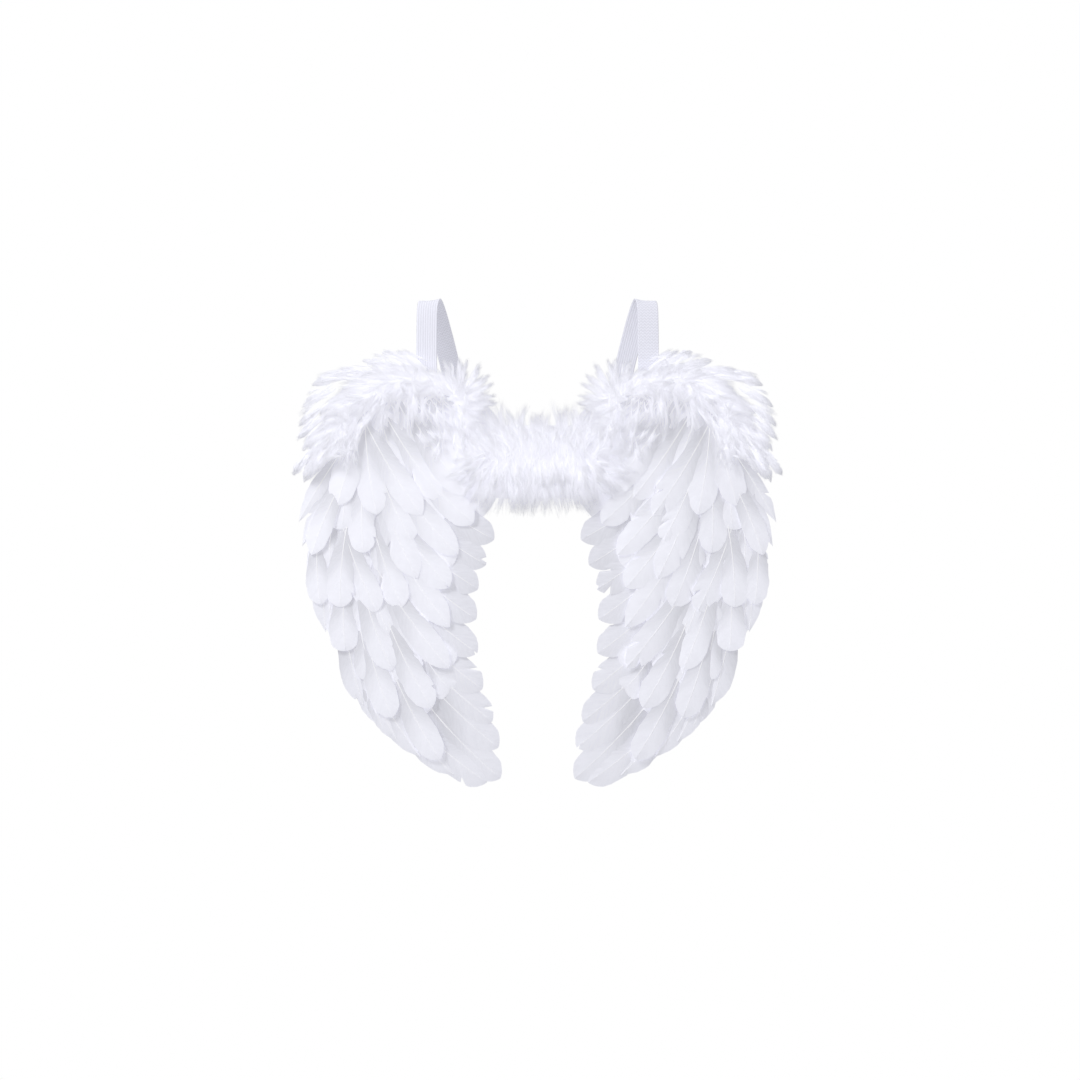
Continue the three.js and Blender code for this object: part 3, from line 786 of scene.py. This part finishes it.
# The down's finish: matt white, with painted shade in the thin ends and a tone that differs at random
# from barb to barb. The emission is painted light for the light that passes through such fine barbs, weaker
# in the thin ends.
down = bpy.data.materials.new("marabou_down")
down.use_nodes = True
down_tree = down.node_tree
down_shader = down_tree.nodes["Principled BSDF"]
spot = add_node(down_tree, "ShaderNodeTexCoord")["Object"]
patch = add_node(down_tree, "ShaderNodeTexNoise", None, {"Vector": spot, "Scale": 90.0, "Detail": 2.0})[0]
thin = add_node(down_tree, "ShaderNodeAttribute", {"attribute_name": "along"})["Fac"]
thin = thin ** 3
painted_shade_and_tone = add_node(down_tree, "ShaderNodeAttribute", {"attribute_name": "painted_shade_and_tone"})["Fac"]
# Each barb's random tone, and painted shade towards its thin ends.
tone = (patch * 0.06 + 0.93) * painted_shade_and_tone * (1 - thin * 0.12)
down_colour = add_node(down_tree, "ShaderNodeCombineColor", None, [tone, tone, tone * 1.015])[0]
down_tree.links.new(down_colour.socket, down_shader.inputs["Base Color"])
down_shader.inputs["Roughness"].default_value = 1.0
down_shader.inputs["Specular IOR Level"].default_value = 0.1
# Painted light: the glow, weaker towards the thin ends and scaled by each barb's tone.
glow = (1 - thin * 0.6) * painted_shade_and_tone
down_glow = add_node(down_tree, "ShaderNodeCombineColor", None, [glow * 0.92, glow * 0.92, glow])[0]
down_tree.links.new(down_glow.socket, down_shader.inputs["Emission Color"])
down_shader.inputs["Emission Strength"].default_value = 0.375

# Which way the down lies over the wing, as it was brushed: places across and down the wing
# in mm, and the way there in degrees. 0 is towards the centre, 90 is up, 180 is outwards.
brushed = (
    (50, 51, 8),
    (57, 37, 35),
    (65, 58, 330),
    (70, 27, 62),
    (72, 70, 275),
    (84, 32, 125),
    (84, 66, 305),
    (89, 13, 112),
    (103, 32, 165),
    (103, 56, 300),
    (113, 20, 135),
    (118, 46, 265),
    (127, 14, 148),
    (127, 80, 292),
    (132, 61, 282),
    (137, 42, 215),
    (146, 20, 156),
    (146, 61, 258),
    (153, 90, 283),
    (156, 51, 222),
    (166, 20, 168),
    (166, 70, 245),
    (166, 104, 276),
    (170, 42, 192),
    (180, 85, 256),
    (185, 30, 183),
    (185, 61, 215),
    (190, 109, 255),
    (194, 46, 203),
    (199, 90, 228),
    (209, 70, 216),
    (211, 123, 245),
    (218, 99, 232),
)
# The cord that the plumes are on, from the join over the shoulder and down the crest, in mm.
shoulder_cord = ((66, 78), (69, 70), (75, 46), (96, 35), (118, 31))
crest_cord = ((110, 32), (118, 31), (139, 33), (159, 41), (173, 52), (182, 67), (184, 85), (187, 105))
# The edge of the down, and under it the points of the plumes that pass it, all in mm.
down_edge = (
    (48, 58),
    (49, 46),
    (55, 37),
    (65, 25),
    (76, 20),
    (94, 16),
    (115, 14),
    (132, 10),
    (144, 14),
    (159, 16),
    (174, 22),
    (185, 32),
    (193, 43),
    (207, 54),
    (211, 70),
    (215, 87),
    (222, 104),
    (225, 125),
    (214, 121),
    (196, 102),
    (178, 91),
    (158, 85),
    (138, 79),
    (118, 74),
    (100, 74),
    (88, 86),
    (80, 112),
    (48, 112),
)
crest_points = (
    (135, 0),
    (149, 1),
    (168, 9),
    (190, 19),
    (204, 27),
    (216, 33),
    (226, 54),
    (229, 72),
    (230, 85),
    (225, 96),
    (234, 119),
)
shoulder_points = ((91, 6), (75, 5), (67, 8), (54, 10), (45, 22), (41, 31), (39, 42), (36, 49))
trace_step = 2.0
# The kinds of plumes on the wing: how long, and how high the root, the middle and the tip are
# over the panel, all in mm, how far the barbs reach out from the shaft in mm, and their curl.
plume_columns = ("length", "root", "middle", "tip", "fluff", "curl")
plume_rows = {
    "point": ((20, 34), 9, (11, 15), (3, 7), (3.4, 5.0), 0.4),
    "outer": ((22, 40), 9, (12, 18), (4, 10), (4.6, 6.8), 0.8),
    "spread": ((28, 50), 8, (12, 18), (6, 12), (4.2, 6.4), 0.8),
    "over": ((18, 32), 12, (18, 25), (8, 15), (4.0, 6.0), 1.1),
    "fringe": ((26, 50), 10, (11, 14), (6, 9), (4.4, 6.6), 1.4),
    "hollow": ((12, 22), 6, (8, 10), (6, 8), (5.0, 7.5), 2.2),
    "crown": ((9, 17), 14, (22, 28), (15, 21), (4.0, 6.0), 1.2),
}
plume_kinds = {kind: dict(zip(plume_columns, row)) for kind, row in plume_rows.items()}
point_plumes = 9
shortest_trace = 5
long_fringe_from = 130
hollow_across = (66, 122)
hollow_down = (30, 98)
hollow_slack = 24


def brushed_way(place):
    """The way that the down lies at a place, weighed from the nearest of the known places."""
    total = Vector((0, 0))
    for across, down_wing, degrees in brushed:
        gap = (place - Vector((across, down_wing))).length
        angle = math.radians(degrees)
        total += Vector((-math.cos(angle), -math.sin(angle))) / (gap + 3) ** 3
    return total.normalized()


def turned(vector, degrees):
    """The vector turned within the wing's face."""
    vector = vector.copy()
    vector.rotate(Matrix.Rotation(math.radians(degrees), 2))
    return vector


def inside(edge, place):
    """Whether a place is within a closed edge."""
    within = False
    for (x0, y0), (x1, y1) in zip(edge, edge[1:] + edge[:1]):
        if (y0 > place.y) != (y1 > place.y) and place.x < (x1 - x0) * (place.y - y0) / (y1 - y0) + x0:
            within = not within
    return within


def along_path(points, share):
    """The place a share of the way along a run of places."""
    at = min(max(share, 0), 0.9999) * (len(points) - 1)
    first = int(at)
    return Vector(points[first]).lerp(Vector(points[first + 1]), at - first)


def traced(start, length, turn, slack):
    """A plume's places from its root, as the down is brushed, at most to the down's edge."""
    places = [start]
    while (len(places) - 1) * trace_step < length:
        step = turned(brushed_way(places[-1]), turn) * trace_step
        if not inside(down_edge, places[-1] + step * (1 - slack / trace_step)):
            break
        places.append(places[-1] + step)
    return places


def wing_plume(side, places, draw, kind):
    """A plume of a kind through traced places, as its root, middle, tip, half width and curl."""
    sizes = plume_kinds[kind]
    levels = (sizes["root"], draw.uniform(*sizes["middle"]), draw.uniform(*sizes["tip"]))
    root, middle, tip = places[0], places[len(places) // 2], places[-1]
    middle = middle * 2 - (root + tip) / 2
    three = [
        on_wing(side, place.x / 1000, place.y / 1000, level / 1000)
        for place, level in zip((root, middle, tip), levels)
    ]
    return (*three, draw.uniform(*sizes["fluff"]) / 1000, sizes["curl"])


def marabou_piece(name, plumes, node, seed, barbs_each):
    """Plumes of root, middle, tip, half width and curl, as one piece that replaces a node."""
    vectors = {key: [plume[i] for plume in plumes] for i, key in enumerate(("root", "middle", "tip"))}
    numbers = {"fluff": [plume[3] for plume in plumes], "curl": [plume[4] for plume in plumes]}
    cloud = point_cloud(name, vectors, numbers)
    modifier = cloud.modifiers.new("plumes", "NODES")
    modifier.node_group = plume_tree
    set_inputs(modifier, {"Barb material": down, "Seed": seed, "Barbs": barbs_each})
    piece = made_plain(cloud, name)
    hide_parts(node)
    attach(piece, "root")
    return piece


def traced_back(end, length):
    """A plume's places from its root, found back from its end."""
    places = [end]
    while (len(places) - 1) * trace_step < length:
        places.insert(0, places[0] - brushed_way(places[0]) * trace_step)
    return places


def boa(side, seed, cord, edge, points, counts, hollow=0):
    """The plumes round a cord on the wing, by their places.

    Some spread from the cord, some end at the down's edge, some lie over those, a fringe
    hangs over the coverts, and a crown stands on the cord. A few groups pass the edge in
    points, and sparse ones lie in the hollow under the shoulder.
    """
    draw = random.Random(seed)
    spread, outer, over, fringe, crown = counts
    plumes = []
    for tip in points:
        for _ in range(point_plumes):
            short = draw.uniform(0, 1) ** 1.4 * 15
            way = brushed_way(Vector(tip))
            end = Vector(tip) - way * short + turned(way, 90) * draw.gauss(0, short * 0.3 + 0.4)
            places = traced_back(end, draw.uniform(*plume_kinds["point"]["length"]))
            places[0] += turned(brushed_way(end), 90) * draw.gauss(0, 3.5)
            plumes.append(wing_plume(side, places, draw, "point"))
    for i in range(outer):
        end = along_path(edge, (i + draw.random()) / outer)
        end -= brushed_way(end) * draw.uniform(-3, 11)
        places = traced_back(end, draw.uniform(*plume_kinds["outer"]["length"]))
        plumes.append(wing_plume(side, places, draw, "outer"))
    for i in range(spread):
        start = along_path(cord, (i + draw.random()) / spread)
        start += turned(brushed_way(start), draw.choice((-90, 90))) * draw.uniform(0, 5)
        length = draw.uniform(*plume_kinds["spread"]["length"])
        places = traced(start, length, draw.uniform(-14, 14), draw.uniform(-3, 4))
        if len(places) >= shortest_trace:
            plumes.append(wing_plume(side, places, draw, "spread"))
    for i in range(over):
        start = along_path(cord, (i + draw.random()) / over)
        start += brushed_way(start) * draw.uniform(-10, 16)
        length = draw.uniform(*plume_kinds["over"]["length"])
        places = traced(start, length, draw.uniform(-24, 24), draw.uniform(-4, 3))
        if len(places) >= shortest_trace:
            plumes.append(wing_plume(side, places, draw, "over"))
    for i in range(fringe):
        start = along_path(cord, (i + draw.random()) / fringe)
        start += Vector((draw.uniform(-12, 2), draw.uniform(0, 14)))
        slack = draw.uniform(-6, 12) + (draw.uniform(0, 14) if start.x > long_fringe_from else 0)
        length = draw.uniform(*plume_kinds["fringe"]["length"])
        places = traced(start, length, draw.uniform(-16, 16), slack)
        if len(places) >= shortest_trace:
            plumes.append(wing_plume(side, places, draw, "fringe"))
    for _ in range(hollow):
        start = Vector((draw.uniform(*hollow_across), draw.uniform(*hollow_down)))
        length = draw.uniform(*plume_kinds["hollow"]["length"])
        places = traced(start, length, draw.uniform(-40, 40), hollow_slack)
        if len(places) >= shortest_trace:
            plumes.append(wing_plume(side, places, draw, "hollow"))
    for i in range(crown):
        start = along_path(cord, (i + draw.random()) / crown)
        start += Vector((draw.uniform(-5, 5), draw.uniform(-5, 5)))
        way = turned(brushed_way(start), draw.gauss(0, 60))
        way = way * draw.uniform(*plume_kinds["crown"]["length"])
        places = [start - way * 0.4, start, start + way]
        plumes.append(wing_plume(side, places, draw, "crown"))
    return plumes


# Both boas of each wing, and the crest's flats: closed plumes between the fluffed ones, which
# show as pointed blades and carry the points past the down's edge. The counts are those of
# the spread, outer, over, fringe and crown plumes.
shoulder_edge = down_edge[:7]
crest_edge = down_edge[6:19]
crest_counts = (50, 84, 64, 80, 16)
shoulder_counts = (40, 46, 40, 52, 26)
hollow_count = 58
flat_count = 40
point_flat_length = (30, 38)
point_flat_width = (7.5, 9.5)
edge_flat_length = (26, 36)
edge_flat_width = (6.5, 9.5)
for side, word in ((-1, "left"), (1, "right")):
    plumes = boa(side, 11, crest_cord, crest_edge, crest_points, crest_counts)
    marabou_piece(f"{word}_crest_plumes", plumes, f"{word}_crest_marabou", 30, 25)
    plumes = boa(side, 21, shoulder_cord, shoulder_edge, shoulder_points, shoulder_counts, hollow_count)
    marabou_piece(f"{word}_shoulder_plumes", plumes, f"{word}_shoulder_marabou", 50, 24)
    draw = random.Random(41)
    flats = []
    for tip in crest_points:
        flats.append((Vector(tip), draw.uniform(*point_flat_length), draw.uniform(*point_flat_width)))
    for i in range(flat_count):
        end = along_path(crest_edge, (i + draw.random()) / flat_count)
        end -= brushed_way(end) * draw.uniform(-2, 8)
        flats.append((end, draw.uniform(*edge_flat_length), draw.uniform(*edge_flat_width)))
    feathers = []
    for end, length, width in flats:
        places = traced_back(end, length)
        shaft = (places[0] / 1000, places[len(places) // 2] / 1000, end / 1000)
        levels = (0.007, draw.uniform(0.009, 0.012), draw.uniform(0.003, 0.006))
        # The flats get a plain tone, near the mean of the barbs' random tones.
        feathers.append((shaft, levels, width / 1000, 1, draw.uniform(-0.2, 0.2), 0.84))
    sizes = {"Barb rows": 16, "Barb columns": 5, "Split share": 0.2, "Vane material": down}
    feather_piece(f"{word}_crest_flats", side, feathers, sizes)

# The two rows over the join, from one doubled cord: half of the plumes stand up and half
# hang down. They part in a dark line along the cord, and the upper ones part in the middle.
join_reach = 58
join_level = 8
join_end = 0.75
golden_step = 0.618034
over_share = 0.45
# In mm: how far past the cord the roots start, how high or low the tips end, the height that
# the upper ones part to in the middle and how it rises outwards, and how far plumes bow out.
upper_roots = (-4, 16)
upper_tips = (44, 60)
lower_roots = (-2, 22)
lower_tips = (40, 54)
parting_height = 40
parting_rise = 0.9
join_bow = (11, 17)
join_fluff = (4.4, 7.4)
join_curl = 2.3


def join_plumes(seed, up, count):
    """The plumes of one row, evenly along the join and fanned out at both ends."""
    draw = random.Random(seed)
    plumes = []
    for i in range(count):
        share = 2 * (i * golden_step % 1) - 1
        x = share * join_reach
        fan = share * 24 + (draw.uniform(0, 45) * share if abs(share) > join_end else 0)
        angle = math.radians(fan + draw.gauss(0, 19))
        way = Vector((math.sin(angle), 0, up * math.cos(angle)))
        over = draw.random() < over_share
        if up > 0:
            low, high = join_level + draw.uniform(*upper_roots), draw.uniform(*upper_tips)
            high = min(high, parting_height + abs(x) * parting_rise)
        else:
            low, high = join_level - draw.uniform(*lower_roots), draw.uniform(*lower_tips)
            high = -high
        length = abs(high - low) * (draw.uniform(0.45, 0.7) if over else 1)
        length *= min(1, 1.5 - abs(share) * 0.75)
        if over:
            low -= up * draw.uniform(0, 8)
        start = Vector((x, -draw.uniform(20, 25) if over else -draw.uniform(8, 14), low))
        tip = start + way * length + Vector((0, draw.uniform(-2, 6) if over else draw.uniform(-6, 2), 0))
        middle = (start + tip) / 2 + Vector((0, -draw.uniform(*join_bow), 0))
        fluff = draw.uniform(*join_fluff) / 1000
        plumes.append((start / 1000, middle / 1000, tip / 1000, fluff, join_curl))
    return plumes


marabou_piece("upper_center_plumes", join_plumes(31, 1, 210), "upper_center_marabou", 70, 26)
marabou_piece("lower_center_plumes", join_plumes(33, -1, 220), "lower_center_marabou", 90, 26)

# The arm loops: flat white elastic, 20 mm wide, woven with ribs along it. Both ends are
# sewn flat to the panel's back, the upper one near the top and the lower near the bridge.
strap_width = 0.02
strap_thickness = 0.0012
strap_rise = 0.05
strap_reach = 0.088
strap_ribs = 9
strap_steps = 6
seam_gap = 0.0003
sewn_level = seam_gap + strap_thickness / 2 - 0.0023
# Across, rise (a share of the loop's rise, or below the crest of the wing's height), how
# far back as a share of the reach, and the band's twist in degrees.
strap_route = (
    (0.457, -0.125, 0, 0),
    (0.457, -0.075, 0, 0),
    (0.457, -0.01, 0.04, 0),
    (0.457, 0.5, 0.1, 0),
    (0.455, 0.88, 0.17, 2),
    (0.446, 1, 0.25, 5),
    (0.43, 0.88, 0.34, 10),
    (0.402, 0.44, 0.5, 18),
    (0.366, -0.03, 0.72, 24),
    (0.34, -0.12, 0.92, 22),
    (0.32, -0.22, 1, 16),
    (0.305, -0.32, 0.9, 10),
    (0.295, -0.4, 0.55, 4),
    (0.29, -0.41, 0.2, 0),
    (0.288, -0.37, 0.02, 0),
    (0.287, -0.34, 0, 0),
    (0.287, -0.29, 0, 0),
)


def rounded(points, per_span):
    """A smooth line through points, with this many steps in each span."""
    line = []
    for i in range(len(points) - 1):
        before = points[max(i - 1, 0)] if i else points[0] * 2 - points[1]
        after = points[i + 2] if i + 2 < len(points) else points[-1] * 2 - points[-2]
        a, b = points[i], points[i + 1]
        for k in range(per_span):
            t = k / per_span
            first = (b - before) * t
            second = (2 * before - 5 * a + 4 * b - after) * t**2
            third = (3 * (a - b) + after - before) * t**3
            line.append(a + (first + second + third) / 2)
    return line + [points[-1]]


elastic = bpy.data.materials.new("ribbed_elastic")
elastic.use_nodes = True
elastic_tree = elastic.node_tree
elastic_shader = elastic_tree.nodes["Principled BSDF"]
run = add_node(elastic_tree, "ShaderNodeAttribute", {"attribute_name": "along"})["Fac"]
over = add_node(elastic_tree, "ShaderNodeAttribute", {"attribute_name": "over"})["Fac"]
inner = add_node(elastic_tree, "ShaderNodeAttribute", {"attribute_name": "inner"})["Fac"]
ribs = (over * (math.tau * strap_ribs / strap_width)).maths("COSINE")
zigzag = (run * 2100 + over.maths("PINGPONG", 0.0017) * 2600).maths("SINE")
knit = zigzag * (inner * 0.9 + 0.1) + ribs * (1 - inner)
weave_place = xyz(elastic_tree, over * 900, run * 420, 0.0)
fuzz = add_node(
    elastic_tree, "ShaderNodeTexNoise", None, {"Vector": weave_place, "Scale": 1.0, "Detail": 2.0}
)[0]
tone = knit * 0.06 + fuzz * 0.06 + 0.79
elastic_colour = add_node(elastic_tree, "ShaderNodeCombineColor", None, [tone, tone, tone * 1.06])[0]
elastic_tree.links.new(elastic_colour.socket, elastic_shader.inputs["Base Color"])
elastic_bump = add_node(
    elastic_tree, "ShaderNodeBump", None, {"Strength": 0.4, "Distance": 0.0003, "Height": knit * 0.5 + fuzz}
)
elastic_tree.links.new(elastic_bump[0].socket, elastic_shader.inputs["Normal"])
elastic_shader.inputs["Roughness"].default_value = 0.75
# Painted light: a faint glow keeps the elastic and its stitches white in shade.
elastic_shader.inputs["Emission Color"].default_value = (0.92, 0.92, 1, 1)
elastic_shader.inputs["Emission Strength"].default_value = 0.09


def strap(side, word):
    """A band with ribbed faces, swept along the loop's route."""
    places, turns = [], []
    for across, rise, back, turn in strap_route:
        up = rise * (strap_rise if rise > 0 else wing_height)
        places.append(Vector((side * across * wing_reach, sewn_level + back * strap_reach, wing_rise + up)))
        turns.append(turn)
    line = rounded(places, strap_steps)
    columns = strap_ribs * 3
    vertices, faces, along_values, over_values, inner_values = [], [], [], [], []
    travelled = 0
    for i, centre in enumerate(line):
        centre.y = max(centre.y, sewn_level)
        before, after = line[max(i - 1, 0)], line[min(i + 1, len(line) - 1)]
        ahead = (after - before).normalized()
        if centre.y == sewn_level:
            ahead = Vector((0, 0, 1 if ahead.z > 0 else -1))
        span = min(i // strap_steps, len(turns) - 2)
        turn = turns[span] + (turns[span + 1] - turns[span]) * (i / strap_steps - span)
        wide = (Vector((1, 0, 0)) - ahead * ahead.x).normalized()
        wide.rotate(Matrix.Rotation(math.radians(side * turn), 3, ahead))
        thick = ahead.cross(wide)
        if i:
            travelled += (centre - line[i - 1]).length
        for face in (1, -1):
            for k in range(columns + 1):
                share = k / columns * 2 - 1
                rib = 0.72 + 0.28 * abs(math.sin(math.pi * strap_ribs * k / columns))
                edge = 0.55 if k in (0, columns) else 1
                lift = face * rib * edge * strap_thickness / 2
                vertices.append(centre + wide * (face * share * strap_width / 2) + thick * lift)
                along_values.append(travelled)
                over_values.append(share * strap_width / 2)
                inner_values.append(0.5 - 0.5 * face * side)
    ring = 2 * (columns + 1)
    for i in range(len(line) - 1):
        for k in range(ring):
            a, b = i * ring + k, i * ring + (k + 1) % ring
            faces.append((a, b, b + ring, a + ring))
    faces.append(tuple(range(ring - 1, -1, -1)))
    faces.append(tuple(range((len(line) - 1) * ring, len(line) * ring)))
    mesh = bpy.data.meshes.new(f"{word}_elastic_loop")
    mesh.from_pydata(vertices, [], faces)
    for key, values in (("along", along_values), ("over", over_values), ("inner", inner_values)):
        layer = mesh.attributes.new(key, "FLOAT", "POINT")
        layer.data.foreach_set("value", values)
    work = bmesh.new()
    work.from_mesh(mesh)
    bmesh.ops.recalc_face_normals(work, faces=work.faces)
    work.to_mesh(mesh)
    work.free()
    for polygon in mesh.polygons:
        polygon.use_smooth = len(polygon.vertices) == 4
    mesh.materials.append(elastic)
    piece = bpy.data.objects.new(f"{word}_elastic_loop", mesh)
    scene.collection.objects.link(piece)
    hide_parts(f"{word}_shoulder_strap")
    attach(piece, "root")


# Box stitches of white thread that sew down both ends of each loop.
thread_radius = 0.00028
stitch_length = 0.0022
stitch_pitch = 0.0031
box_width = 0.015
box_height = 0.016
sewn_ends = ((0.457, -0.1), (0.287, -0.315))
stitch_inputs = {"Thread radius": ("Float", thread_radius), "Thread material": ("Material", None)}
stitch_tree, given = new_tree("stitches", stitch_inputs)
ring = add_node(stitch_tree, "GeometryNodeCurvePrimitiveCircle", None, {"Resolution": 5, "Radius": 1.0})
threads = add_node(stitch_tree, "GeometryNodeMeshToCurve", None, {"Mesh": given["Geometry"]})[0]
threads = add_node(
    stitch_tree,
    "GeometryNodeCurveToMesh",
    None,
    {"Curve": threads, "Profile Curve": ring[0], "Scale": given["Thread radius"], "Fill Caps": True},
)[0]
threads = add_node(
    stitch_tree, "GeometryNodeSetMaterial", None, {"Geometry": threads, "Material": given["Thread material"]}
)[0]
add_node(stitch_tree, "NodeGroupOutput", None, [threads])


def stitches(side, word):
    """Short threads round a box and across it, on the outer face of both sewn ends."""
    vertices = []
    corners = [Vector((x * box_width / 2, 0, z * box_height / 2)) for x, z in square]
    seams = list(zip(corners, corners[1:] + corners[:1]))
    seams += [(corners[0], corners[2]), (corners[1], corners[3])]
    for across, rise in sewn_ends:
        level = sewn_level + strap_thickness * 0.55
        middle = Vector((side * across * wing_reach, level, wing_rise + rise * wing_height))
        for start, end in seams:
            way = (end - start).normalized()
            for i in range(int((end - start).length / stitch_pitch)):
                first = middle + start + way * (i + 0.15) * stitch_pitch
                vertices += [first, first + way * stitch_length]
    mesh = bpy.data.meshes.new("stitches")
    mesh.from_pydata(vertices, [(i, i + 1) for i in range(0, len(vertices), 2)], [])
    seam = bpy.data.objects.new("stitches", mesh)
    scene.collection.objects.link(seam)
    modifier = seam.modifiers.new("stitches", "NODES")
    modifier.node_group = stitch_tree
    set_inputs(modifier, {"Thread material": elastic})
    piece = made_plain(seam, f"{word}_loop_stitches")
    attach(piece, "root")


for side, word in ((-1, "left"), (1, "right")):
    strap(side, word)
    stitches(side, word)

visual_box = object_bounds()
sizes = {"cad": [list(v) for v in cad_box], "visual": [list(v) for v in visual_box]}
